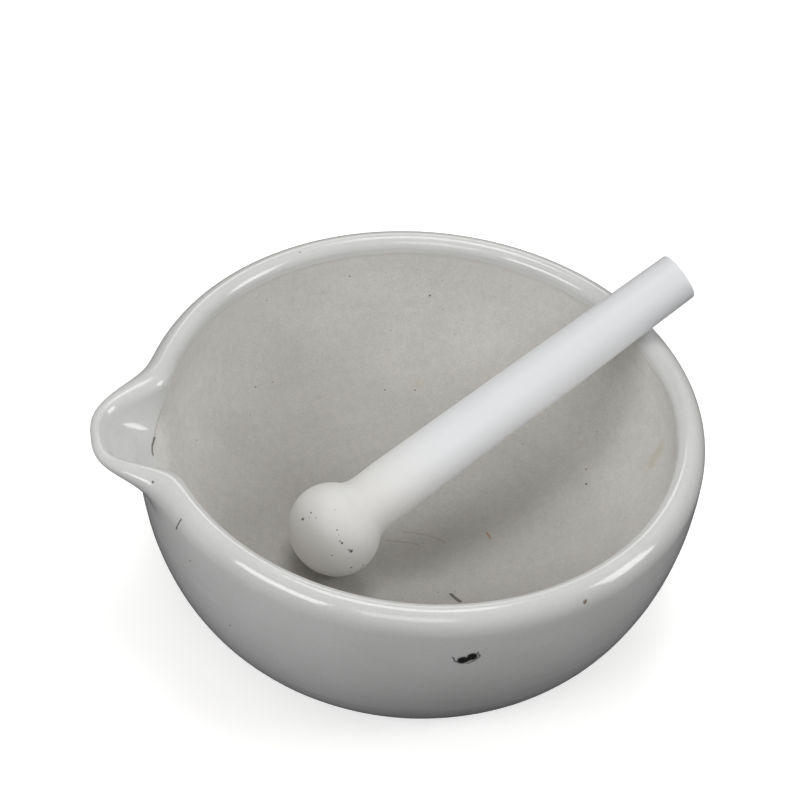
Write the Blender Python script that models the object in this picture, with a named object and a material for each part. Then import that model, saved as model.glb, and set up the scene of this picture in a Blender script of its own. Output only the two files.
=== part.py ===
"""A laboratory mortar and pestle in porcelain.

The mortar is a round bowl with a flat foot, a rolled lip and a pouring spout pulled out of the lip.
The pestle is one turned piece with a ball head. It leans in the bowl with its head on the floor and
its handle on the lip, and it is worked round the bowl about the bowl's own upright axis.

Metres, +Z up. The origin is the centre of the bowl's foot, and the spout points along -X.
"""

import math

import bmesh
import bpy
from mathutils import Vector

# Mortar: overall sizes.
RIM_RADIUS = 0.108
HEIGHT = 0.0885
FLOOR_THICKNESS = 0.0135

# Mortar: the belly is a superellipse that hangs from the widest circle and is cut off flat by the foot.
BELLY_DEPTH = 0.0807
BELLY_BASE_RADIUS = 0.0622
BELLY_POWER = 2.055

# Mortar: the lip falls off outwards in a quarter ellipse, and inwards in a circle to the upright wall.
LIP_OUTER_ROUND = 0.0066
LIP_OUTER_DROP = 0.0090
LIP_INNER_ROUND = 0.0044

# Mortar: inside, a shallow spherical floor runs into a tighter corner and then a straight wall.
FLOOR_ROUND = 0.150
CORNER_ROUND = 0.048

# Spout: how far the outer and inner faces are pulled out, how wide the pull is, and where it starts.
# A power over 2 gives the pull a broad nose and steep sides.
SPOUT_POWER = 3.2
SPOUT_REACH = 0.0196
SPOUT_SPREAD = math.radians(13.8)
SPOUT_ROOT = 0.071
TROUGH_REACH = 0.0232
TROUGH_SPREAD = math.radians(10.4)
TROUGH_ROOT = 0.058
TROUGH_DIP = 0.0035

# Pestle.
PESTLE_LENGTH = 0.185
HEAD_RADIUS = 0.0186
HEAD_HALF_LENGTH = 0.0175
HEAD_END_ANGLE = math.radians(42)  # past the head's widest circle, where the neck takes over
NECK_END = 0.047  # along the pestle from the bottom of its head
NECK_RADIUS = 0.0120
NECK_PULLS = (0.0045, 0.0100)  # reach of the neck curve's tangents at the head and at the handle
HANDLE_END_RADIUS = 0.0098
HANDLE_END_ROUND = 0.0012

# Pestle at rest in the bowl.
HEAD_OFFSET = 0.0348  # from the bowl's axis to the centre of the head, along the pestle
HEAD_SIDESTEP = 0.0020  # the same, across the pestle
HANDLE_AZIMUTH = math.radians(22.6)  # the handle's side, counter-clockwise from +X
CLEARANCE = 0.0004

# Smoothness.
MORTAR_COLUMNS = 84
COLUMN_CROWDING = 0.4  # gathers the columns towards the spout
PESTLE_COLUMNS = 40
BELLY_STEPS = 14
ARC_STEPS = 6
SMALL_ARC_STEPS = 3
HEAD_STEPS = 11
HANDLE_STEPS = 4
WELD = 1e-6
SMOOTH_ANGLE = math.radians(40)


def arc(centre, radius, start, end, steps):
    """Points on a circle of the section plane; angles run clockwise from straight up."""
    angles = [start + (end - start) * step / steps for step in range(steps + 1)]
    return [
        (centre[0] + radius * math.sin(angle), centre[1] + radius * math.cos(angle))
        for angle in angles
    ]


def belly():
    """The outer wall, from the foot's edge up to the widest circle."""
    power = 2 / BELLY_POWER
    widest = HEIGHT - LIP_OUTER_DROP
    foot_angle = math.asin((widest / BELLY_DEPTH) ** (1 / power))
    points = []
    for step in range(BELLY_STEPS + 1):
        angle = foot_angle * (1 - step / BELLY_STEPS)
        across = (RIM_RADIUS - BELLY_BASE_RADIUS) * math.cos(angle) ** power
        points.append((BELLY_BASE_RADIUS + across, widest - BELLY_DEPTH * math.sin(angle) ** power))
    return points


def lip():
    """The lip, from the widest circle over its top to the upright inner wall."""
    top_radius = RIM_RADIUS - LIP_OUTER_ROUND
    fall = LIP_OUTER_DROP / LIP_OUTER_ROUND
    circle = arc((top_radius, 0), LIP_OUTER_ROUND, math.pi / 2, 0, ARC_STEPS)
    outer = [(radius, HEIGHT - LIP_OUTER_DROP + fall * above) for radius, above in circle]
    inner_centre = (top_radius, HEIGHT - LIP_INNER_ROUND)
    inner = arc(inner_centre, LIP_INNER_ROUND, 0, -math.pi / 2, ARC_STEPS)
    return outer[1:] + inner[1:]


def bowl_inside(wall_radius):
    """The inner wall's foot, the corner and the floor, ending on the bowl's axis."""
    corner_radius = wall_radius - CORNER_ROUND
    reach = FLOOR_ROUND - CORNER_ROUND
    lean = math.asin(corner_radius / reach)
    floor_centre = (0, FLOOR_THICKNESS + FLOOR_ROUND)
    corner_centre = (corner_radius, floor_centre[1] - reach * math.cos(lean))
    corner = arc(corner_centre, CORNER_ROUND, math.pi / 2, math.pi - lean, ARC_STEPS + 2)
    floor = arc(floor_centre, FLOOR_ROUND, math.pi - lean, math.pi, ARC_STEPS + 2)
    return corner + floor[1:]


def mortar_section():
    """(radius, height) from the middle of the foot, over the lip, to the middle of the floor."""
    outside = belly()
    over = lip()
    inside = bowl_inside(over[-1][0])
    return [(0, 0), (outside[0][0] / 2, 0)] + outside + over + inside[1:]


def blend(low, high, share):
    return low + (high - low) * share


def smooth_rise(value, start, end):
    share = min(max((value - start) / (end - start), 0), 1)
    return share * share * (3 - 2 * share)


def bell(angle, spread):
    return math.exp(-(abs(angle / spread) ** SPOUT_POWER))


def spout_pull(azimuth, radius, height):
    """How far a point of the plain bowl is pulled out and down to form the spout."""
    inward = min((RIM_RADIUS - radius) / (LIP_OUTER_ROUND + LIP_INNER_ROUND), 1)
    off_spout = math.remainder(azimuth - math.pi, 2 * math.pi)
    rise = smooth_rise(height, blend(SPOUT_ROOT, TROUGH_ROOT, inward), HEIGHT)
    outer = SPOUT_REACH * bell(off_spout, SPOUT_SPREAD)
    inner = TROUGH_REACH * bell(off_spout, TROUGH_SPREAD)
    down = TROUGH_DIP * bell(off_spout, TROUGH_SPREAD)
    return blend(outer, inner, inward) * rise, down * rise


def spin_section(mesh, points, columns):
    """Turns a section, given as (radius, height) from the axis to the axis, into a closed body."""
    corners = [mesh.verts.new((radius, 0, height)) for radius, height in points]
    edges = [mesh.edges.new(pair) for pair in zip(corners, corners[1:])]
    bmesh.ops.spin(
        mesh,
        geom=corners + edges,
        cent=(0, 0, 0),
        axis=(0, 0, 1),
        angle=2 * math.pi,
        steps=columns,
        use_merge=True,
    )
    bmesh.ops.remove_doubles(mesh, verts=mesh.verts, dist=WELD)
    bmesh.ops.recalc_face_normals(mesh, faces=mesh.faces)


def finish_piece(name, mesh, material):
    data = bpy.data.meshes.new(name)
    mesh.to_mesh(data)
    mesh.free()
    data.shade_smooth()
    data.set_sharp_from_angle(angle=SMOOTH_ANGLE)
    data.materials.append(material)
    piece = bpy.data.objects.new(name, data)
    bpy.context.scene.collection.objects.link(piece)
    return piece


def porcelain(name, colour, roughness):
    material = bpy.data.materials.new(name)
    material.use_nodes = True
    shader = material.node_tree.nodes["Principled BSDF"]
    shader.inputs["Base Color"].default_value = (*colour, 1)
    shader.inputs["Roughness"].default_value = roughness
    shader.inputs["Metallic"].default_value = 0
    return material


def make_mortar():
    """Spins the plain bowl, then gathers its columns at the spout and pulls the spout out."""
    mesh = bmesh.new()
    spin_section(mesh, mortar_section(), MORTAR_COLUMNS)
    for vertex in mesh.verts:
        radius, height = vertex.co.xy.length, vertex.co.z
        azimuth = math.atan2(vertex.co.y, vertex.co.x)
        azimuth += COLUMN_CROWDING * math.sin(azimuth)
        out, down = spout_pull(azimuth, radius, height)
        if radius > WELD:
            radius += out
        vertex.co = (radius * math.cos(azimuth), radius * math.sin(azimuth), height - down)
    return finish_piece("mortar", mesh, porcelain("mortar_porcelain", (0.72, 0.72, 0.69), 0.25))


def handle_radius(along):
    share = (along - NECK_END) / (PESTLE_LENGTH - NECK_END)
    return blend(NECK_RADIUS, HANDLE_END_RADIUS, share)


def neck():
    """A smooth curve from the head, tangent to it, to the handle, tangent to its taper."""
    head_point = Vector((
        HEAD_RADIUS * math.cos(HEAD_END_ANGLE),
        HEAD_HALF_LENGTH * (1 + math.sin(HEAD_END_ANGLE)),
    ))
    head_tangent = Vector((
        -HEAD_RADIUS * math.sin(HEAD_END_ANGLE),
        HEAD_HALF_LENGTH * math.cos(HEAD_END_ANGLE),
    )).normalized()
    handle_point = Vector((NECK_RADIUS, NECK_END))
    taper = Vector((HANDLE_END_RADIUS - NECK_RADIUS, PESTLE_LENGTH - NECK_END)).normalized()
    first = head_point + NECK_PULLS[0] * head_tangent
    second = handle_point - NECK_PULLS[1] * taper
    points = []
    for step in range(1, ARC_STEPS + 1):
        t = step / ARC_STEPS
        point = (1 - t) ** 3 * head_point + 3 * (1 - t) ** 2 * t * first
        point += 3 * (1 - t) * t**2 * second + t**3 * handle_point
        points.append((point.x, point.y))
    return points


def pestle_section():
    """(radius, distance along) from the bottom of the head to the middle of the handle's end."""
    section = []
    for step in range(HEAD_STEPS + 1):
        angle = blend(-math.pi / 2, HEAD_END_ANGLE, step / HEAD_STEPS)
        along = HEAD_HALF_LENGTH * (1 + math.sin(angle))
        section.append((HEAD_RADIUS * math.cos(angle) if step else 0, along))
    section += neck()
    straight_end = PESTLE_LENGTH - HANDLE_END_ROUND
    for step in range(1, HANDLE_STEPS + 1):
        along = blend(NECK_END, straight_end, step / HANDLE_STEPS)
        section.append((handle_radius(along), along))
    round_centre = (section[-1][0] - HANDLE_END_ROUND, straight_end)
    section += arc(round_centre, HANDLE_END_ROUND, math.pi / 2, 0, SMALL_ARC_STEPS)[1:]
    section.append((0, PESTLE_LENGTH))
    return section


def pestle_pose():
    """(height of the head's centre, lean of the handle above level) with both ends just clear."""
    centre_circle = FLOOR_ROUND - HEAD_RADIUS - CLEARANCE
    floor_centre = FLOOR_THICKNESS + FLOOR_ROUND
    head_height = floor_centre - math.sqrt(centre_circle**2 - HEAD_OFFSET**2)
    across = HEAD_OFFSET + RIM_RADIUS - LIP_OUTER_ROUND
    up = HEIGHT - LIP_INNER_ROUND - head_height
    touching = handle_radius(HEAD_HALF_LENGTH + math.hypot(across, up))
    lift = LIP_INNER_ROUND + touching + CLEARANCE
    return head_height, math.atan2(up, across) + math.asin(lift / math.hypot(across, up))


def make_pestle():
    """Lies along +Z from its head, then leans into place under an empty on the bowl's axis."""
    mesh = bmesh.new()
    spin_section(mesh, pestle_section(), PESTLE_COLUMNS)
    bmesh.ops.translate(mesh, verts=mesh.verts, vec=(0, 0, -HEAD_HALF_LENGTH))
    pestle = finish_piece("pestle", mesh, porcelain("pestle_porcelain", (0.80, 0.80, 0.78), 0.3))
    stir_axis = bpy.data.objects.new("pestle_stir_axis", None)
    bpy.context.scene.collection.objects.link(stir_axis)
    head_height, lean = pestle_pose()
    pestle.parent = stir_axis
    pestle.location = (-HEAD_OFFSET, HEAD_SIDESTEP, head_height)
    pestle.rotation_euler = (0, math.pi / 2 - lean, 0)
    stir_axis.rotation_euler = (0, 0, HANDLE_AZIMUTH)
    return pestle


def main():
    for old in list(bpy.data.objects):
        bpy.data.objects.remove(old, do_unlink=True)
    make_mortar()
    make_pestle()


main()
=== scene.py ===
"""Looks of the porcelain laboratory mortar and its pestle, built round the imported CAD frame.

Metres, +Z up along the bowl's axis, -X towards the spout. Patterns in the materials are in
millimetres, because every pattern starts from object coordinates times 1000.
"""

import math

import bpy
from mathutils import Matrix, Vector, noise


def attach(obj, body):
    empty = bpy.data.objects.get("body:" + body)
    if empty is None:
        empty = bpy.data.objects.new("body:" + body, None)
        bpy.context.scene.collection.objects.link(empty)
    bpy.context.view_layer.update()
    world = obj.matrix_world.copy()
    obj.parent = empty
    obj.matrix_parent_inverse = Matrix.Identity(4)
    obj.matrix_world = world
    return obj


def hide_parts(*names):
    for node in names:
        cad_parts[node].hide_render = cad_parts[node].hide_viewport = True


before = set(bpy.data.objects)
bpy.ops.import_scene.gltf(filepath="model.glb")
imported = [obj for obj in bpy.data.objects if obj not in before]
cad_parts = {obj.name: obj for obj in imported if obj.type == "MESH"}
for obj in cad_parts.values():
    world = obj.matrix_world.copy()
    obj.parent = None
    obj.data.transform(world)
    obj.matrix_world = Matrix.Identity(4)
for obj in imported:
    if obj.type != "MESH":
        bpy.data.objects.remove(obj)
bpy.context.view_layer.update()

# ---------------------------------------------------------------- mortar, as in the CAD
RIM_RADIUS = 0.108
HEIGHT = 0.0885
FLOOR_THICKNESS = 0.0135
BELLY_DEPTH = 0.0807
BELLY_BASE_RADIUS = 0.0622
BELLY_POWER = 2.055
LIP_OUTER_ROUND = 0.0066
LIP_OUTER_DROP = 0.0090
LIP_INNER_ROUND = 0.0044
FLOOR_ROUND = 0.150
CORNER_ROUND = 0.048
SPOUT_POWER = 3.2
SPOUT_REACH = 0.0196
SPOUT_SPREAD = math.radians(13.8)
SPOUT_ROOT = 0.071
TROUGH_REACH = 0.0232
TROUGH_SPREAD = math.radians(10.4)
TROUGH_ROOT = 0.058
TROUGH_DIP = 0.0035
COLUMN_CROWDING = 0.4

# ---------------------------------------------------------------- pestle, as in the CAD
PESTLE_LENGTH = 0.185
HEAD_RADIUS = 0.0186
HEAD_HALF_LENGTH = 0.0175
HEAD_END_ANGLE = math.radians(42)
NECK_END = 0.047
NECK_RADIUS = 0.0120
NECK_PULLS = (0.0045, 0.0100)
HANDLE_END_RADIUS = 0.0098
HANDLE_END_ROUND = 0.0012
HEAD_OFFSET = 0.0348
HEAD_SIDESTEP = 0.0020
HANDLE_AZIMUTH = math.radians(22.6)
CLEARANCE = 0.0004

# ---------------------------------------------------------------- finer detail
WALL_RADIUS = RIM_RADIUS - LIP_OUTER_ROUND - LIP_INNER_ROUND
MORTAR_COLUMNS = 400
LIP_STEPS = 24                  # in the outer half of the lip
PESTLE_COLUMNS = 144
FOOT_ROUND = 0.0014
FOOT_RING_INNER = 0.058
FOOT_RECESS = 0.0009
FOOT_SLOPE = 0.004
GLAZE_EDGE_DEPTH = 0.0068       # below the rim, where the glaze ends inside the bowl
GLAZE_EDGE_IN_SPOUT = 0.016     # how much further down it runs in the spout's trough
GLAZE_FOOT_HEIGHT = 0.0024      # above the bench, where the glaze ends outside
GLAZE_THICKNESS = 0.00016
GLAZE_EDGE_WIDTH = 0.0012
PESTLE_GLAZE_START = 0.052      # from the head's tip, along the pestle


# ================================================================ small curve helpers
def arc(centre, radius, start, end, steps):
    """Points on a circle in the (radius, height) plane; angle 0 points up, 90 outwards."""
    turns = (start + (end - start) * i / steps for i in range(steps + 1))
    return [(centre[0] + radius * math.sin(a), centre[1] + radius * math.cos(a)) for a in turns]


def blend(a, b, share):
    return a + (b - a) * share


def smooth_rise(value, start, end):
    t = min(max((value - start) / (end - start), 0.0), 1.0)
    return t * t * (3 - 2 * t)


def bell(angle, spread):
    return math.exp(-(abs(angle / spread) ** SPOUT_POWER))


def straight(a, b, steps):
    """Points after a, up to and including b."""
    return [(blend(a[0], b[0], i / steps), blend(a[1], b[1], i / steps)) for i in range(1, steps + 1)]


# ================================================================ mortar
def belly_point(angle):
    power = 2 / BELLY_POWER
    radius = BELLY_BASE_RADIUS + (RIM_RADIUS - BELLY_BASE_RADIUS) * math.cos(angle) ** power
    return radius, HEIGHT - LIP_OUTER_DROP - BELLY_DEPTH * math.sin(angle) ** power


def belly(steps):
    """The outside wall, from just above the foot up to where the lip begins."""
    widest = HEIGHT - LIP_OUTER_DROP
    foot_angle = math.asin(((widest - FOOT_ROUND) / BELLY_DEPTH) ** (BELLY_POWER / 2))
    points = [belly_point(foot_angle * (1 - i / steps)) for i in range(steps)]
    return points + [(RIM_RADIUS, widest)]


def foot(corner):
    """The underside from its centre to the rounded edge below corner: a shallow recess, then a ring."""
    top = (0.0, FOOT_RECESS)
    points = [top] + straight(top, (FOOT_RING_INNER - FOOT_SLOPE, FOOT_RECESS), 16)
    for i in range(1, 9):
        share = i / 8
        drop = FOOT_RECESS * (1 - smooth_rise(share, 0, 1))
        points.append((FOOT_RING_INNER - FOOT_SLOPE * (1 - share), drop))
    edge = corner[0] - FOOT_ROUND
    points += straight(points[-1], (edge, 0.0), 6)
    turns = (math.pi / 2 * i / 6 for i in range(1, 6))
    return points + [(edge + FOOT_ROUND * math.sin(a), FOOT_ROUND * (1 - math.cos(a))) for a in turns]


def lip():
    top = RIM_RADIUS - LIP_OUTER_ROUND
    fall = LIP_OUTER_DROP / LIP_OUTER_ROUND
    circle = arc((top, 0), LIP_OUTER_ROUND, math.pi / 2, 0, LIP_STEPS)
    outer = [(radius, HEIGHT - LIP_OUTER_DROP + fall * above) for radius, above in circle]
    inner = arc((top, HEIGHT - LIP_INNER_ROUND), LIP_INNER_ROUND, 0, -math.pi / 2, 18)
    return outer[1:] + inner[1:]


def bowl_inside(wall_radius, wall_top):
    """The wall, the rounded corner and the dished floor, down to the middle of the floor."""
    floor_centre = FLOOR_THICKNESS + FLOOR_ROUND
    corner_radius = wall_radius - CORNER_ROUND
    reach = FLOOR_ROUND - CORNER_ROUND
    lean = math.asin(corner_radius / reach)
    corner_centre = (corner_radius, floor_centre - reach * math.cos(lean))
    corner = arc(corner_centre, CORNER_ROUND, math.pi / 2, math.pi - lean, 62)
    floor = arc((0, floor_centre), FLOOR_ROUND, math.pi - lean, math.pi, 46)
    return straight((wall_radius, wall_top), corner[0], 34) + corner[1:] + floor[1:]


def spout_pull(azimuth, radius, height):
    """How far the spout draws a point outwards and down."""
    inward = min((RIM_RADIUS - radius) / (LIP_OUTER_ROUND + LIP_INNER_ROUND), 1)
    off_spout = math.remainder(azimuth - math.pi, 2 * math.pi)
    rise = smooth_rise(height, blend(SPOUT_ROOT, TROUGH_ROOT, inward), HEIGHT)
    outer = SPOUT_REACH * bell(off_spout, SPOUT_SPREAD)
    inner = TROUGH_REACH * bell(off_spout, TROUGH_SPREAD)
    down = TROUGH_DIP * bell(off_spout, TROUGH_SPREAD)
    return blend(outer, inner, inward) * rise, down * rise


def waviness(azimuth, height, inside):
    """The potter's unevenness: slow swells round the wall and fine turning rings up it, in metres."""
    x, y = math.cos(azimuth), math.sin(azimuth)
    swell = noise.noise(Vector((x * 1.3, y * 1.3, height * 18)))
    ring = noise.noise(Vector((x * 0.35, y * 0.35, height * 210 + (40 if inside else 0))))
    dent = noise.noise(Vector((x * 6, y * 6, height * 60 + 9)))
    if inside:
        return 0.00005 * swell + 0.00003 * ring + 0.00002 * dent
    return 0.00028 * swell + 0.00007 * ring + 0.00006 * dent


def glaze_reach(azimuth, height, inside):
    """Metres from the nearest edge of the glaze, above 0 where the surface is glazed."""
    above_foot = height - GLAZE_FOOT_HEIGHT
    if not inside:
        return min(above_foot, 0.02)
    off_spout = math.remainder(azimuth - math.pi, 2 * math.pi)
    edge = GLAZE_EDGE_DEPTH + GLAZE_EDGE_IN_SPOUT * bell(off_spout, 1.3 * TROUGH_SPREAD)
    x, y = math.cos(azimuth), math.sin(azimuth)
    edge += 0.0011 * noise.noise(Vector((x * 2.3, y * 2.3, 4.0)))
    edge += 0.0004 * noise.noise(Vector((x * 11, y * 11, 7.0)))
    return edge - (HEIGHT - height)


def surface_shift(azimuth, height, reach, is_inside):
    """How far unevenness and the glaze's thickness move the surface, in metres."""
    edge = smooth_rise(reach, -GLAZE_EDGE_WIDTH / 2, GLAZE_EDGE_WIDTH / 2)
    fade = smooth_rise(height, 0.002, 0.012) if not is_inside else 1.0
    outwards = -1 if is_inside else 1
    return (waviness(azimuth, height, is_inside) + outwards * GLAZE_THICKNESS * (edge - 1)) * fade


def mortar_mesh():
    outside = belly(74)
    over = lip()
    underside = foot(outside[0])
    inside = bowl_inside(*over[-1])
    section = underside + outside + over + inside
    first_outside, first_inside = len(underside), len(underside) + len(outside) + LIP_STEPS
    vertices, reaches = [], []
    for index, (radius, height) in enumerate(section):
        is_inside = index >= first_inside
        pole = radius < 1e-7
        for column in range(1 if pole else MORTAR_COLUMNS):
            azimuth = 2 * math.pi * column / MORTAR_COLUMNS
            azimuth += COLUMN_CROWDING * math.sin(azimuth)
            out, down = spout_pull(azimuth, radius, height)
            reach = -0.01 if index < first_outside else glaze_reach(azimuth, height, is_inside)
            shift = 0.0 if index < first_outside else surface_shift(azimuth, height, reach, is_inside)
            lean = smooth_rise(WALL_RADIUS - radius, 0, 0.04) if is_inside else 0.0
            r = radius + out + (shift * (1 - lean) if not pole else 0.0)
            z = height - down + abs(shift) * 0.5 * lean
            vertices.append((r * math.cos(azimuth), r * math.sin(azimuth), z))
            reaches.append(reach)
    return vertices, ring_faces(section, MORTAR_COLUMNS), reaches


def ring_faces(section, columns):
    """Faces between the rings of a spun section whose first and last points are poles."""
    faces, start = [], 0
    for (radius, _), (after, _) in zip(section, section[1:]):
        here = 1 if radius < 1e-7 else columns
        there = 1 if after < 1e-7 else columns
        for i in range(columns):
            j = (i + 1) % columns
            a, b = start + i % here, start + j % here
            c, d = start + here + j % there, start + here + i % there
            faces.append(tuple(dict.fromkeys((a, b, c, d))))
        start += here
    return faces


# ================================================================ pestle
def handle_radius(along):
    share = (along - NECK_END) / (PESTLE_LENGTH - NECK_END)
    return blend(NECK_RADIUS, HANDLE_END_RADIUS, share)


def neck(steps):
    """A cubic curve from the side of the head to the handle, without its first point."""
    start = (HEAD_RADIUS * math.cos(HEAD_END_ANGLE), HEAD_HALF_LENGTH * (1 + math.sin(HEAD_END_ANGLE)))
    slope = Vector((-HEAD_RADIUS * math.sin(HEAD_END_ANGLE), HEAD_HALF_LENGTH * math.cos(HEAD_END_ANGLE)))
    end = Vector((NECK_RADIUS, NECK_END))
    run = Vector((handle_radius(PESTLE_LENGTH) - NECK_RADIUS, PESTLE_LENGTH - NECK_END)).normalized()
    pulls = (
        Vector(start),
        Vector(start) + slope.normalized() * NECK_PULLS[0],
        end - run * NECK_PULLS[1],
        end,
    )
    points = []
    for i in range(1, steps + 1):
        t = i / steps
        weights = ((1 - t) ** 3, 3 * t * (1 - t) ** 2, 3 * t * t * (1 - t), t**3)
        points.append(tuple(sum((w * p for w, p in zip(weights, pulls)), Vector((0, 0)))))
    return points


def pestle_section():
    head = []
    for i in range(61):
        angle = -math.pi / 2 + (HEAD_END_ANGLE + math.pi / 2) * i / 60
        head.append((HEAD_RADIUS * math.cos(angle), HEAD_HALF_LENGTH * (1 + math.sin(angle))))
    head[0] = (0.0, 0.0)
    curve = neck(34)
    straight_end = PESTLE_LENGTH - HANDLE_END_ROUND
    handle = straight(curve[-1], (handle_radius(straight_end), straight_end), 70)
    edge = handle[-1][0] - HANDLE_END_ROUND
    end = arc((edge, straight_end), HANDLE_END_ROUND, math.pi / 2, 0, 8)[1:]
    return head + curve + handle + end + straight(end[-1], (0.0, PESTLE_LENGTH), 6)


def pestle_pose():
    """Matrix from the pestle's own length along +Z to where it lies in the bowl."""
    floor_centre = FLOOR_THICKNESS + FLOOR_ROUND
    centre_circle = FLOOR_ROUND - HEAD_RADIUS - CLEARANCE
    head_height = floor_centre - math.sqrt(centre_circle**2 - HEAD_OFFSET**2)
    across = HEAD_OFFSET + RIM_RADIUS - LIP_OUTER_ROUND
    up = HEIGHT - LIP_INNER_ROUND - head_height
    at_lip = math.hypot(across, up) + HEAD_HALF_LENGTH
    lift = LIP_INNER_ROUND + handle_radius(at_lip) + CLEARANCE
    lean = math.atan2(up, across) + math.asin(lift / math.hypot(across, up))
    place = Matrix.Translation((-HEAD_OFFSET, HEAD_SIDESTEP, head_height))
    tilt = Matrix.Rotation(math.pi / 2 - lean, 4, "Y")
    turn = Matrix.Rotation(HANDLE_AZIMUTH, 4, "Z")
    return turn @ place @ tilt @ Matrix.Translation((0, 0, -HEAD_HALF_LENGTH))


def pestle_mesh():
    section = pestle_section()
    pose = pestle_pose()
    vertices, places = [], []
    for radius, along in section:
        pole = radius < 1e-7
        for column in range(1 if pole else PESTLE_COLUMNS):
            turn = 2 * math.pi * column / PESTLE_COLUMNS
            x, y = math.cos(turn), math.sin(turn)
            swell = noise.noise(Vector((x, y, along * 25)))
            ring = noise.noise(Vector((x * 0.3, y * 0.3, along * 160)))
            fade = smooth_rise(along, 0, 0.004) * smooth_rise(PESTLE_LENGTH - along, 0.0, 0.004)
            r = radius + (0.00010 * swell + 0.00003 * ring) * fade if not pole else 0.0
            vertices.append(pose @ Vector((r * x, r * y, along)))
            places.append(along)
    return vertices, ring_faces(section, PESTLE_COLUMNS), places


# ================================================================ mesh objects
def piece(name, vertices, faces, attribute, values):
    """A smooth mesh object with one number per vertex, facing outwards."""
    mesh = bpy.data.meshes.new(name)
    mesh.from_pydata(vertices, [], faces)
    mesh.attributes.new(attribute, "FLOAT", "POINT").data.foreach_set("value", values)
    mesh.polygons.foreach_set("use_smooth", [True] * len(mesh.polygons))
    mesh.update()
    made = bpy.data.objects.new(name, mesh)
    bpy.context.scene.collection.objects.link(made)
    return made


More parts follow.
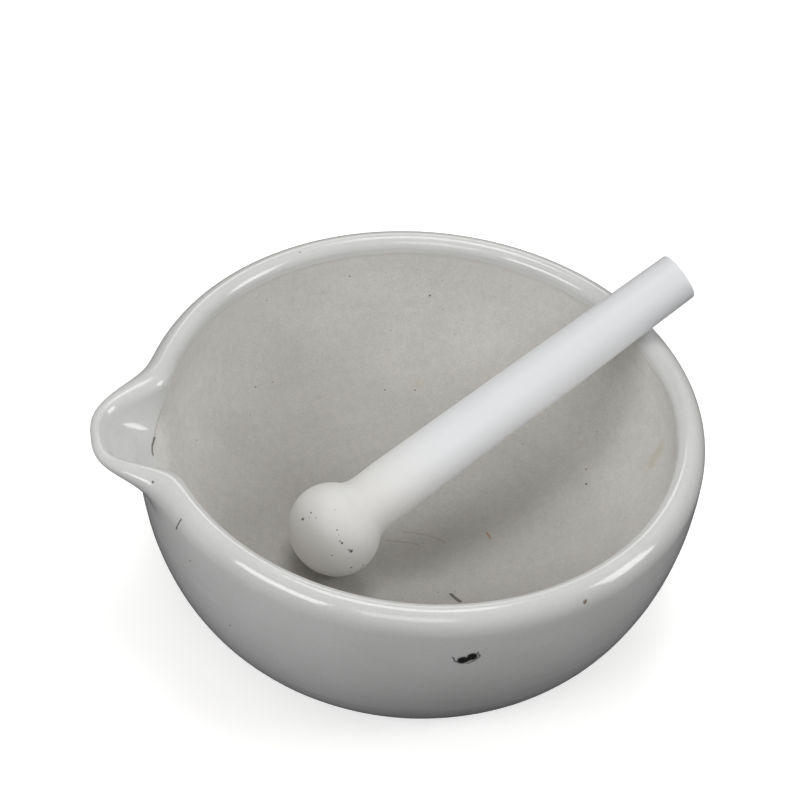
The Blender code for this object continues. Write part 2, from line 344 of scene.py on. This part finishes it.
# ================================================================ material nodes
class Graph:
    """Short calls for the shader nodes that the two porcelain materials share."""

    def __init__(self, name):
        self.material = bpy.data.materials.new(name)
        self.material.use_nodes = True
        self.nodes = self.material.node_tree.nodes
        self.links = self.material.node_tree.links
        self.shader = self.nodes["Principled BSDF"]
        coordinates = self.nodes.new("ShaderNodeTexCoord").outputs["Object"]
        self.place = self.vector("SCALE", coordinates, scale=1000.0)

    def set(self, socket, value):
        if hasattr(value, "is_linked"):
            self.links.new(value, socket)
        else:
            socket.default_value = value

    def math(self, operation, *values, clamp=False):
        node = self.nodes.new("ShaderNodeMath")
        node.operation, node.use_clamp = operation, clamp
        for socket, value in zip(node.inputs, values):
            self.set(socket, value)
        return node.outputs[0]

    def between(self, low, high, share):
        """low where share is 0, high where it is 1."""
        return self.math("ADD", low, self.math("MULTIPLY", self.math("SUBTRACT", high, low), share))

    def vector(self, operation, *values, scale=None, output=0):
        node = self.nodes.new("ShaderNodeVectorMath")
        node.operation = operation
        for socket, value in zip(node.inputs, values):
            self.set(socket, value)
        if scale is not None:
            self.set(node.inputs["Scale"], scale)
        return node.outputs[output]

    def step(self, value, start, end, low=0.0, high=1.0):
        """A smooth step from low to high as value goes from start to end."""
        node = self.nodes.new("ShaderNodeMapRange")
        node.interpolation_type = "SMOOTHSTEP"
        for socket, number in zip(node.inputs, (value, start, end, low, high)):
            self.set(socket, number)
        return node.outputs[0]

    def noise(self, scale, detail=2.0, vector=None, spread=None):
        """Noise about 0, times spread if given; scale is in cycles per millimetre."""
        node = self.nodes.new("ShaderNodeTexNoise")
        node.inputs["Scale"].default_value = scale
        node.inputs["Detail"].default_value = detail
        self.links.new(vector or self.place, node.inputs["Vector"])
        centred = self.math("SUBTRACT", node.outputs["Fac"], 0.5)
        return centred if spread is None else self.math("MULTIPLY", centred, spread)

    def specks(self, cell, radius, share, seed):
        """Scattered round dots: one in some of the cells, of varied size and strength."""
        shifted = self.vector("ADD", self.place, (seed, seed * 0.7, -seed))
        node = self.nodes.new("ShaderNodeTexVoronoi")
        node.inputs["Scale"].default_value = 1 / cell
        node.inputs["Randomness"].default_value = 0.9
        self.links.new(shifted, node.inputs["Vector"])
        parts = self.nodes.new("ShaderNodeSeparateColor")
        self.links.new(node.outputs["Color"], parts.inputs[0])
        size = self.math("MULTIPLY_ADD", parts.outputs[1], radius * 0.7 / cell, radius * 0.3 / cell)
        near = self.math("DIVIDE", node.outputs["Distance"], size)
        dot = self.step(near, 1.15, 0.55)
        chosen = self.math("LESS_THAN", parts.outputs[0], share)
        strength = self.math("MULTIPLY_ADD", parts.outputs[2], 0.7, 0.3)
        return self.math("MULTIPLY", self.math("MULTIPLY", dot, chosen), strength)

    def ragged_place(self, scale, amount):
        """The object coordinates, shaken a little so that a mark drawn in them has a ragged edge."""
        node = self.nodes.new("ShaderNodeTexNoise")
        node.inputs["Scale"].default_value = scale
        node.inputs["Detail"].default_value = 3.0
        self.links.new(self.place, node.inputs["Vector"])
        centred = self.vector("SUBTRACT", node.outputs["Color"], (0.5, 0.5, 0.5))
        return self.vector("ADD", self.place, self.vector("SCALE", centred, scale=amount))

    def spot(self, place, centre, radii, soft=0.25):
        """1 inside an ellipsoid round centre, in millimetres."""
        offset = self.vector("SUBTRACT", place, centre)
        scaled = self.vector("DIVIDE", offset, radii)
        length = self.vector("LENGTH", scaled, output=1)
        return self.step(length, 1 + soft, 1 - soft)

    def line(self, place, points, width, soft=0.5):
        """1 along a chain of straight stretches of that half width, in millimetres."""
        mask = None
        for a, b in zip(points, points[1:]):
            run = Vector(b) - Vector(a)
            offset = self.vector("SUBTRACT", place, a)
            dot = self.vector("DOT_PRODUCT", offset, tuple(run / run.length_squared), output=1)
            share = self.math("ADD", dot, 0.0, clamp=True)
            nearest = self.vector("SCALE", tuple(run), scale=share)
            distance = self.vector("DISTANCE", offset, nearest, output=1)
            stretch = self.step(distance, width * (1 + soft), width * (1 - soft))
            mask = stretch if mask is None else self.math("MAXIMUM", mask, stretch)
        return mask

    def most(self, *masks):
        result = masks[0]
        for mask in masks[1:]:
            result = self.math("MAXIMUM", result, mask)
        return result

    def mix(self, base, colour, share):
        node = self.nodes.new("ShaderNodeMix")
        node.data_type = "RGBA"
        self.set(node.inputs[0], share)
        for socket, value in ((node.inputs[6], base), (node.inputs[7], colour)):
            self.set(socket, value if hasattr(value, "is_linked") else (*value, 1.0))
        return node.outputs[2]

    def brighten(self, base, factor):
        """base times a grey factor."""
        node = self.nodes.new("ShaderNodeMix")
        node.data_type, node.blend_type = "RGBA", "MULTIPLY"
        node.inputs[0].default_value = 1.0
        self.set(node.inputs[6], base if hasattr(base, "is_linked") else (*base, 1.0))
        self.links.new(factor, node.inputs[7])
        return node.outputs[2]

    def attribute(self, name):
        node = self.nodes.new("ShaderNodeAttribute")
        node.attribute_name = name
        return self.math("MULTIPLY", node.outputs["Fac"], 1000.0)

    def bump(self, height, distance):
        """height is in millimetres."""
        node = self.nodes.new("ShaderNodeBump")
        node.inputs["Strength"].default_value = 1.0
        node.inputs["Distance"].default_value = distance
        self.links.new(height, node.inputs["Height"])
        self.links.new(node.outputs["Normal"], self.shader.inputs["Normal"])

    def finish(self, colour, roughness):
        self.links.new(colour, self.shader.inputs["Base Color"])
        self.links.new(roughness, self.shader.inputs["Roughness"])
        return self.material


BISCUIT = (0.650, 0.640, 0.615)
# painted shade: the biscuit's colour at the floor of the bowl, darker than at the wall's top
BISCUIT_FLOOR_SHADE = (0.482, 0.472, 0.450)
GLAZE = (0.655, 0.661, 0.660)
GLAZE_POOLED = (0.618, 0.625, 0.621)
IRON = (0.008, 0.008, 0.007)
RUST = (0.170, 0.075, 0.045)
CRACK = (0.120, 0.100, 0.070)
STAIN = (0.470, 0.395, 0.285)
SOOT = (0.060, 0.060, 0.058)
RUSTY = (0.400, 0.240, 0.130)
SCRATCH = (0.270, 0.240, 0.190)
PEPPER = (0.150, 0.135, 0.115)
PINHOLE = (0.190, 0.170, 0.140)
GLAZE_EDGE = (0.545, 0.515, 0.455)
IRON_SPOT = Vector((0.9, -107.4, 68.4))


class Patch:
    """Coordinates round a mark, squeezed along the surface's normal, in millimetres.

    The squeeze lets a mark spread over a surface that bends or lies a little off the mark's points.
    """

    def __init__(self, graph, place, origin, normal, squeeze=0.9):
        self.graph, self.origin, self.squeeze = graph, Vector(origin), squeeze
        self.normal = Vector(normal).normalized()
        offset = graph.vector("SUBTRACT", place, tuple(origin))
        along = graph.vector("DOT_PRODUCT", offset, tuple(self.normal), output=1)
        squeezed = graph.vector("SCALE", tuple(self.normal * squeeze), scale=along)
        self.place = graph.vector("SUBTRACT", offset, squeezed)

    def at(self, point):
        offset = Vector(point) - self.origin
        return tuple(offset - self.normal * self.squeeze * offset.dot(self.normal))

    def line(self, points, width, soft=0.5):
        return self.graph.line(self.place, [self.at(point) for point in points], width, soft)


def iron_spot(graph, place):
    """The burnt-out iron speck on the outside: two dark lobes in a thin broken outline."""
    patch = Patch(graph, place, IRON_SPOT, (0, -1, -0.08), 0.7)
    lobes = graph.most(
        graph.spot(patch.place, (-1.5, 0, -0.9), (2.2, 2.0, 2.0)),
        graph.spot(patch.place, (1.7, 0, 0.7), (2.0, 2.0, 2.1)),
        graph.spot(patch.place, (0.1, 0, -0.7), (1.2, 2.0, 1.2)),
    )
    left = [(-5.3, 0, 1.0), (-4.5, 0, -1.0), (-2.4, 0, -2.7)]
    right = [(0.3, 0, -3.0), (3.0, 0, -1.6), (4.6, 0, 0.6), (3.4, 0, 3.0)]
    arcs = (patch.line([IRON_SPOT + Vector(p) for p in side], 0.30) for side in (left, right))
    return graph.most(lobes, graph.math("MULTIPLY", graph.most(*arcs), 0.8))


def mortar_cracks(graph, place):
    """A short crack in the lip's glaze, and a longer one at the root of the spout."""
    lip_crack = Patch(graph, place, (-96.9, -46.5, 81.5), (-0.86, -0.42, 0.27))
    root_crack = Patch(graph, place, (-101.0, 9.0, 67.5), (0.70, -0.25, 0.65))
    faint = root_crack.line([(-97.6, 25.5, 76.0), (-99.0, 18.5, 70.8), (-100.3, 13.0, 67.9)], 0.28)
    return graph.most(
        lip_crack.line([(-95.9, -46.8, 84.8), (-97.2, -46.9, 82.2), (-97.5, -46.2, 79.4)], 0.34),
        root_crack.line([(-100.2, 13.2, 68.0), (-101.9, 9.4, 67.1), (-101.7, 5.0, 66.6)], 0.42),
        graph.math("MULTIPLY", faint, 0.35),
    )


def floor_scratches(graph, place):
    """Two curved hairlines in the middle of the floor."""
    patch = Patch(graph, place, (4, 3, 14), (0, 0, 1))
    long_one = [(-1.8, 6.9, 14), (2.8, 6.1, 14), (7.3, 4.6, 14), (11.2, 2.2, 14), (14.3, -0.6, 14)]
    short_one = [(-9.7, 2.6, 14), (-5.6, 2.3, 14), (-1.0, 1.5, 14), (3.6, -0.3, 14)]
    return graph.most(patch.line(long_one, 0.27), patch.line(short_one, 0.24))


def soot_marks(graph, place):
    """Dark burnt-out specks: (centre, size across), and one larger flake on the floor."""
    specks = [
        ((18.8, 93.8, 61.2), 0.50), ((-47.8, 68.6, 40.9), 0.40), ((-55.2, 64.6, 42.4), 0.36),
        ((-49.7, 83.4, 72.0), 0.34), ((-25.6, 93.2, 66.1), 0.28), ((-14.5, 96.0, 71.6), 0.32),
        ((-35.9, 93.2, 88.2), 0.40), ((-104.6, -29.1, 86.8), 0.50), ((78.4, 29.5, 41.3), 0.42),
        ((72.3, 16.8, 33.5), 0.42), ((71.2, 10.0, 32.0), 0.48), ((51.0, 38.4, 27.9), 0.34),
        ((6.5, -28.7, 16.5), 0.34), ((11.2, 69.6, 31.2), 0.34), ((-1.2, 70.6, 31.2), 0.30),
        ((-93.1, -54.2, 70.4), 0.36), ((-79.5, -68.7, 50.4), 0.36), ((-82.1, 32.2, 46.4), 0.34),
    ]
    dots = (graph.spot(place, centre, (size, size, size), 0.35) for centre, size in specks)
    flake = Patch(graph, place, (12.4, -33.6, 18.0), (-0.08, 0.23, 0.97))
    strokes = graph.most(
        flake.line([(11.2, -30.8, 17.3), (12.6, -33.5, 18.0)], 0.70, 0.4),
        flake.line([(12.2, -33.0, 17.9), (13.9, -36.3, 18.8)], 0.66, 0.4),
    )
    return graph.most(*dots, strokes)


def turning_rings(graph, height, radius):
    """The rings that turning leaves: slow round the bowl, quick from the rim to the middle."""
    slow = graph.vector("MULTIPLY", graph.place, (0.02, 0.02, 0.0))
    parts = graph.nodes.new("ShaderNodeSeparateXYZ")
    graph.links.new(slow, parts.inputs[0])
    ring_place = graph.nodes.new("ShaderNodeCombineXYZ")
    graph.links.new(parts.outputs[0], ring_place.inputs[0])
    graph.links.new(parts.outputs[1], ring_place.inputs[1])
    graph.links.new(graph.math("MULTIPLY_ADD", height, -0.8, radius), ring_place.inputs[2])
    return graph.noise(0.42, 3.0, ring_place.outputs[0], 0.085)


def biscuit_colour(graph, height, rings):
    """A warm grey, darker towards the floor of the bowl as painted shade, with a fine grain and pepper
    specks.
    """
    clouds = graph.noise(0.030, 3.0, spread=0.14)
    mottle = graph.noise(0.30, 5.0, spread=0.20)
    grain = graph.noise(1.4, 3.0, spread=0.38)
    shade = graph.math("ADD", graph.math("ADD", rings, clouds), graph.math("ADD", mottle, grain))
    # painted shade: from 76 mm down to 24 mm the biscuit darkens towards the floor colour, standing in
    # for the shade deep in the bowl
    edge = graph.math("ADD", height, graph.noise(0.04, 3.0, spread=26.0))
    biscuit = graph.mix(BISCUIT, BISCUIT_FLOOR_SHADE, graph.step(edge, 76.0, 24.0))
    biscuit = graph.brighten(biscuit, graph.math("ADD", shade, 1.0))
    pepper = graph.most(
        graph.specks(5.2, 0.42, 0.42, 3.0),
        graph.math("MULTIPLY", graph.specks(2.2, 0.34, 0.50, 11.0), 0.45),
    )
    return graph.mix(biscuit, PEPPER, graph.math("MULTIPLY", pepper, 0.75))


def glaze_colour(graph, pinholes):
    """A cool grey white, pooled a little darker in slow bands, with sparse pinholes."""
    band_place = graph.vector("MULTIPLY", graph.place, (0.025, 0.025, 0.36))
    bands = graph.noise(1.0, 3.0, band_place, 0.05)
    pool = graph.math("ADD", graph.noise(0.045, 3.0, spread=2.2), 0.35, clamp=True)
    glaze = graph.mix(GLAZE, GLAZE_POOLED, pool)
    tone = graph.math("ADD", bands, graph.noise(1.0, 4.0, spread=0.12))
    glaze = graph.brighten(glaze, graph.math("ADD", tone, 1.0))
    return graph.mix(glaze, PINHOLE, graph.math("MULTIPLY", pinholes, 0.65))


def stain_marks(graph, ragged, fine):
    """Brown patches on the inner wall, the largest where the handle lies."""
    cloudy = graph.ragged_place(0.25, 5.0)
    beige_spot = graph.spot(ragged, (12.7, 72.1, 32.7), (1.6, 1.8, 1.6), 0.6)
    faint_patch = graph.spot(fine, (42, 62, 36), (5.0, 9.0, 5.0), 0.8)
    return graph.most(
        graph.spot(cloudy, (94.0, -1.2, 57.0), (4.0, 2.4, 8.0), 0.7),
        graph.math("MULTIPLY", beige_spot, 0.6),
        graph.math("MULTIPLY", faint_patch, 0.25),
    )


def wall_ring(graph, radius):
    """A faint broken line round the inner wall."""
    off_ring = graph.math("ABSOLUTE", graph.math("SUBTRACT", radius, 94.0))
    broken = graph.step(graph.noise(0.025, 2.0), -0.02, 0.10)
    return graph.math("MULTIPLY", graph.step(off_ring, 0.8, 0.1), broken)


def mortar_material():
    graph = Graph("mortar_porcelain")
    parts = graph.nodes.new("ShaderNodeSeparateXYZ")
    graph.links.new(graph.place, parts.inputs[0])
    height = parts.outputs[2]
    radius = graph.vector("LENGTH", graph.vector("MULTIPLY", graph.place, (1.0, 1.0, 0.0)), output=1)
    edge = graph.math("ADD", graph.attribute("glaze_reach"), graph.noise(0.45, 3.0, spread=1.1))
    glazed = graph.step(edge, -2.8, 2.2)
    at_edge = graph.math("MULTIPLY", graph.step(edge, -2.6, 0.0), graph.step(edge, 1.0, 0.1))
    rings = turning_rings(graph, height, radius)
    pinholes = graph.specks(13.0, 0.36, 0.34, 27.0)
    colour = graph.mix(biscuit_colour(graph, height, rings), glaze_colour(graph, pinholes), glazed)
    colour = graph.mix(colour, GLAZE_EDGE, graph.math("MULTIPLY", at_edge, 0.22))

    ragged, fine = graph.ragged_place(1.3, 1.1), graph.ragged_place(0.5, 1.2)
    iron, cracks, dots = iron_spot(graph, ragged), mortar_cracks(graph, fine), soot_marks(graph, ragged)
    crumb = Patch(graph, fine, (31.1, -0.4, 16.9), (-0.21, 0, 0.98))
    marks = [
        (SCRATCH, wall_ring(graph, radius), 0.06),
        (STAIN, stain_marks(graph, ragged, fine), 0.42),
        (CRACK, cracks, 0.85),
        (SCRATCH, floor_scratches(graph, fine), 0.50),
        (SOOT, dots, 0.85),
        (RUSTY, crumb.line([(30.7, 1.3, 16.9), (31.5, -2.2, 16.9)], 0.40), 0.85),
        (RUST, graph.spot(ragged, (44.0, -97.8, 83.6), (0.8, 1.0, 0.8), 0.4), 0.8),
        (IRON, iron, 1.0),
    ]
    for tint, mask, strength in marks:
        colour = graph.mix(colour, tint, graph.math("MULTIPLY", mask, strength))

    sunk = graph.most(cracks, graph.math("MULTIPLY", dots, 0.4), graph.math("MULTIPLY", iron, 0.35))
    graph.bump(mortar_relief(graph, rings, glazed, sunk, pinholes), 0.001)
    dull = graph.math("ADD", graph.noise(0.3, 3.0, spread=0.10), 0.62)
    bright = graph.math("ADD", graph.noise(0.09, 3.0, spread=0.06), 0.10)
    roughness = graph.math("ADD", graph.between(dull, bright, glazed), graph.math("MULTIPLY", iron, 0.35))
    graph.shader.inputs["IOR"].default_value = 1.5
    return graph.finish(colour, roughness)


def mortar_relief(graph, rings, glazed, sunk, pinholes):
    """Orange peel on the glaze, grit on the biscuit, and marks that sink in, in millimetres."""
    peel = graph.math("ADD", graph.noise(0.16, 2.0, spread=0.060), graph.noise(0.75, 2.0, spread=0.022))
    grit = graph.math("ADD", graph.noise(1.3, 4.0, spread=0.060), graph.noise(4.0, 2.0, spread=0.020))
    grit = graph.math("ADD", grit, graph.math("MULTIPLY", rings, 0.35))
    relief = graph.math("SUBTRACT", graph.between(grit, peel, glazed), graph.math("MULTIPLY", sunk, 0.10))
    return graph.math("SUBTRACT", relief, graph.math("MULTIPLY", pinholes, 0.04))


HEAD_COLOUR = (0.738, 0.739, 0.731)
# a darker, warmer grey for the head's tip
HEAD_TIP_TONE = (0.640, 0.622, 0.580)
HANDLE_COLOUR = (0.765, 0.779, 0.803)
PIT_COLOUR = (0.045, 0.040, 0.034)
FLECK_COLOUR = (0.220, 0.200, 0.160)


def pestle_pits(graph):
    """Burnt-out specks in the head: (centre, size across in millimetres)."""
    ragged = graph.ragged_place(2.2, 0.7)
    pits = [
        ((-46.2, -16.2, 49.0), 0.52), ((-46.5, -15.8, 48.1), 0.42), ((-43.2, -16.0, 51.9), 0.36),
        ((-44.1, -17.3, 51.0), 0.30), ((-41.7, -18.7, 51.8), 0.24), ((-34.3, -24.3, 50.4), 0.36),
        ((-33.8, -25.7, 48.9), 0.26), ((-33.3, -27.1, 47.2), 0.32), ((-32.6, -27.5, 46.5), 0.48),
        ((-29.0, -28.6, 42.9), 0.66), ((-30.0, -28.4, 43.6), 0.45), ((-36.3, -28.9, 41.6), 0.36),
        ((-34.4, -17.7, 54.5), 0.28), ((-23.6, -26.6, 32.4), 0.50), ((-28.6, -29.1, 34.4), 0.45),
        ((-24.1, -25.9, 30.0), 0.50), ((-26.2, -27.6, 30.8), 0.26), ((-36.0, -27.0, 45.6), 0.20),
    ]
    return graph.most(*(graph.spot(ragged, place, (size,) * 3, 0.35) for place, size in pits))


def pestle_material():
    graph = Graph("pestle_porcelain")
    along = graph.attribute("along")
    edge = graph.math("ADD", along, graph.noise(0.12, 2.0, spread=6.0))
    start = PESTLE_GLAZE_START * 1000
    glazed = graph.step(edge, start - 20.0, start + 24.0)

    clouds = graph.noise(0.045, 3.0, spread=0.05)
    grain = graph.noise(2.6, 2.0, spread=0.045)
    grey = graph.math("ADD", clouds, graph.noise(0.3, 3.0, spread=0.04))
    head = graph.brighten(HEAD_COLOUR, graph.math("ADD", graph.math("ADD", grey, grain), 1.0))
    # the head turns to a darker, warmer grey over its last 15 mm towards the tip
    tip_share = graph.math("MULTIPLY", graph.step(along, 15.0, 1.0), 0.5)
    head = graph.mix(head, HEAD_TIP_TONE, tip_share)
    handle = graph.brighten(HANDLE_COLOUR, graph.math("ADD", graph.math("MULTIPLY", grey, 0.4), 1.0))
    colour = graph.mix(head, handle, glazed)

    pits = pestle_pits(graph)
    flecks = graph.math("MULTIPLY", graph.specks(5.5, 0.22, 0.30, 5.0), graph.step(along, 40.0, 20.0))
    colour = graph.mix(colour, FLECK_COLOUR, graph.math("MULTIPLY", flecks, 0.6))
    colour = graph.mix(colour, PIT_COLOUR, graph.math("MULTIPLY", pits, 0.9))

    grit = graph.math("ADD", graph.noise(1.6, 4.0, spread=0.045), graph.noise(5.0, 2.0, spread=0.012))
    peel = graph.noise(0.18, 2.0, spread=0.030)
    pitted = graph.math("SUBTRACT", graph.between(grit, peel, glazed), graph.math("MULTIPLY", pits, 0.12))
    graph.bump(pitted, 0.001)
    smear = graph.noise(0.12, 3.0, spread=0.12)
    dull = graph.math("ADD", smear, 0.55)
    satin = graph.math("ADD", graph.math("MULTIPLY", smear, 0.5), 0.34)
    roughness = graph.between(dull, satin, glazed)
    graph.shader.inputs["IOR"].default_value = 1.48
    return graph.finish(colour, roughness)


# ================================================================ stage, light and camera
LOOK_AT = Vector((0, 0, HEIGHT))
CAMERA_DISTANCE = 1.08
CAMERA_AZIMUTH = math.radians(-12.6)
CAMERA_ELEVATION = math.radians(43.7)
CAMERA_ROLL = math.radians(5.73)
CAMERA_LENS = 128.6
CAMERA_SHIFT = (-0.0296, 0.0108)
FLOOR_HALF = 6.0
FLOOR_GLOW = 0.42
BACKDROP_RADIUS = 5.5


def stage_object(name, vertices, faces, material):
    mesh = bpy.data.meshes.new(name)
    mesh.from_pydata(vertices, [], faces)
    mesh.polygons.foreach_set("use_smooth", [True] * len(faces))
    mesh.materials.append(material)
    made = bpy.data.objects.new(name, mesh)
    bpy.context.scene.collection.objects.link(made)
    return made


def plain_material(name, colour, glow):
    material = bpy.data.materials.new(name)
    material.use_nodes = True
    shader = material.node_tree.nodes["Principled BSDF"]
    shader.inputs["Base Color"].default_value = (*colour, 1.0)
    shader.inputs["Roughness"].default_value = 0.9
    shader.inputs["Specular IOR Level"].default_value = 0.1
    shader.inputs["Emission Color"].default_value = (1.0, 1.0, 1.0, 1.0)
    shader.inputs["Emission Strength"].default_value = glow
    return material


def make_floor():
    """A pale floor that turns plain white further out."""
    half = FLOOR_HALF
    corners = [(-half, -half, 0), (half, -half, 0), (half, half, 0), (-half, half, 0)]
    pale = plain_material("floor", (0.93,) * 3, FLOOR_GLOW)
    nodes, links = pale.node_tree.nodes, pale.node_tree.links
    away, glow = nodes.new("ShaderNodeVectorMath"), nodes.new("ShaderNodeMapRange")
    away.operation, glow.interpolation_type = "LENGTH", "SMOOTHSTEP"
    links.new(nodes.new("ShaderNodeTexCoord").outputs["Object"], away.inputs[0])
    links.new(away.outputs["Value"], glow.inputs["Value"])
    for name, value in (("From Min", 0.25), ("From Max", 1.3), ("To Min", FLOOR_GLOW), ("To Max", 1.0)):
        glow.inputs[name].default_value = value
    links.new(glow.outputs[0], nodes["Principled BSDF"].inputs["Emission Strength"])
    floor = stage_object("floor", corners, [(0, 1, 2, 3)], pale)
    floor.visible_diffuse = floor.visible_glossy = False


def make_backdrop():
    """A white sphere round everything, which only the camera sees."""
    rings, columns = 12, 32
    points, faces = [], []
    for i in range(rings + 1):
        lift = math.pi * (i / rings - 0.5)
        across, up = BACKDROP_RADIUS * math.cos(lift), BACKDROP_RADIUS * math.sin(lift)
        turns = (2 * math.pi * j / columns for j in range(columns))
        points += [(across * math.cos(turn), across * math.sin(turn), up) for turn in turns]
    for i in range(rings):
        below, above = i * columns, (i + 1) * columns
        for j in range(columns):
            after = (j + 1) % columns
            faces.append((below + j, below + after, above + after, above + j))
    backdrop = stage_object("backdrop", points, faces, plain_material("backdrop", (0.0,) * 3, 1.0))
    backdrop.visible_diffuse = backdrop.visible_glossy = False
    backdrop.visible_shadow = backdrop.visible_transmission = False


def softbox(name, direction, distance, size, watts, colour):
    light = bpy.data.lights.new(name, "AREA")
    light.shape = "RECTANGLE"
    light.size, light.size_y = size
    light.energy = watts
    light.color = colour
    made = bpy.data.objects.new(name, light)
    towards = Vector(direction).normalized()
    made.location = LOOK_AT + towards * distance
    made.rotation_mode = "QUATERNION"
    made.rotation_quaternion = towards.to_track_quat("Z", "Y")
    made.visible_camera = False
    bpy.context.scene.collection.objects.link(made)


def make_light():
    """Softboxes all round, in a grey room that is darker towards the floor."""
    white = (1.0, 1.0, 1.0)
    softbox("overhead", (0.04, 0.20, 0.97), 1.35, (0.62, 0.52), 4.9, white)
    softbox("left", (-0.76, -0.48, 0.44), 1.25, (0.70, 0.42), 6.4, white)
    softbox("right", (0.86, -0.30, 0.40), 1.25, (0.46, 0.60), 5.6, white)
    softbox("back", (0.15, 0.85, 0.55), 1.90, (1.10, 0.50), 5.5, white)
    softbox("front", (-0.15, -0.76, 0.63), 2.40, (1.30, 0.90), 10.0, white)
    world = bpy.data.worlds.new("room")
    world.use_nodes = True
    bpy.context.scene.world = world
    nodes, links = world.node_tree.nodes, world.node_tree.links
    background = nodes["Background"]
    ramp = nodes.new("ShaderNodeValToRGB")
    parts = nodes.new("ShaderNodeSeparateXYZ")
    lift = nodes.new("ShaderNodeMapRange")
    links.new(nodes.new("ShaderNodeTexCoord").outputs["Generated"], parts.inputs[0])
    links.new(parts.outputs["Z"], lift.inputs["Value"])
    lift.inputs["From Min"].default_value = -1.0
    links.new(lift.outputs[0], ramp.inputs[0])
    ramp.color_ramp.elements[0].color = (0.055, 0.055, 0.058, 1.0)
    ramp.color_ramp.elements[0].position = 0.40
    ramp.color_ramp.elements[1].color = (0.270, 0.260, 0.241, 1.0)
    ramp.color_ramp.elements[1].position = 0.85
    links.new(ramp.outputs[0], background.inputs["Color"])
    background.inputs["Strength"].default_value = 1.0


def make_camera():
    a, e = CAMERA_AZIMUTH, CAMERA_ELEVATION
    back = Vector((math.sin(a) * math.cos(e), -math.cos(a) * math.cos(e), math.sin(e)))
    level = Vector((math.cos(a), math.sin(a), 0))
    upright = back.cross(level)
    right = level * math.cos(CAMERA_ROLL) + upright * math.sin(CAMERA_ROLL)
    up = upright * math.cos(CAMERA_ROLL) - level * math.sin(CAMERA_ROLL)
    data = bpy.data.cameras.new("camera")
    data.lens, data.sensor_width = CAMERA_LENS, 36.0
    data.shift_x, data.shift_y = CAMERA_SHIFT
    data.clip_start, data.clip_end = 0.01, 50.0
    camera = bpy.data.objects.new("camera", data)
    axes = Matrix((right, up, back)).transposed().to_4x4()
    camera.matrix_world = Matrix.Translation(LOOK_AT + back * CAMERA_DISTANCE) @ axes
    bpy.context.scene.collection.objects.link(camera)
    bpy.context.scene.camera = camera


# ================================================================ the scene
mortar_vertices, mortar_faces, mortar_reaches = mortar_mesh()
mortar = piece("mortar_body", mortar_vertices, mortar_faces, "glaze_reach", mortar_reaches)
mortar.data.materials.append(mortar_material())
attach(mortar, "mortar")
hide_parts("mortar")

pestle_vertices, pestle_faces, pestle_places = pestle_mesh()
pestle = piece("pestle_body", pestle_vertices, pestle_faces, "along", pestle_places)
pestle.data.materials.append(pestle_material())
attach(pestle, "pestle")
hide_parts("pestle")

make_floor()
make_backdrop()
make_light()
make_camera()
bpy.context.scene.view_settings.view_transform = "Standard"
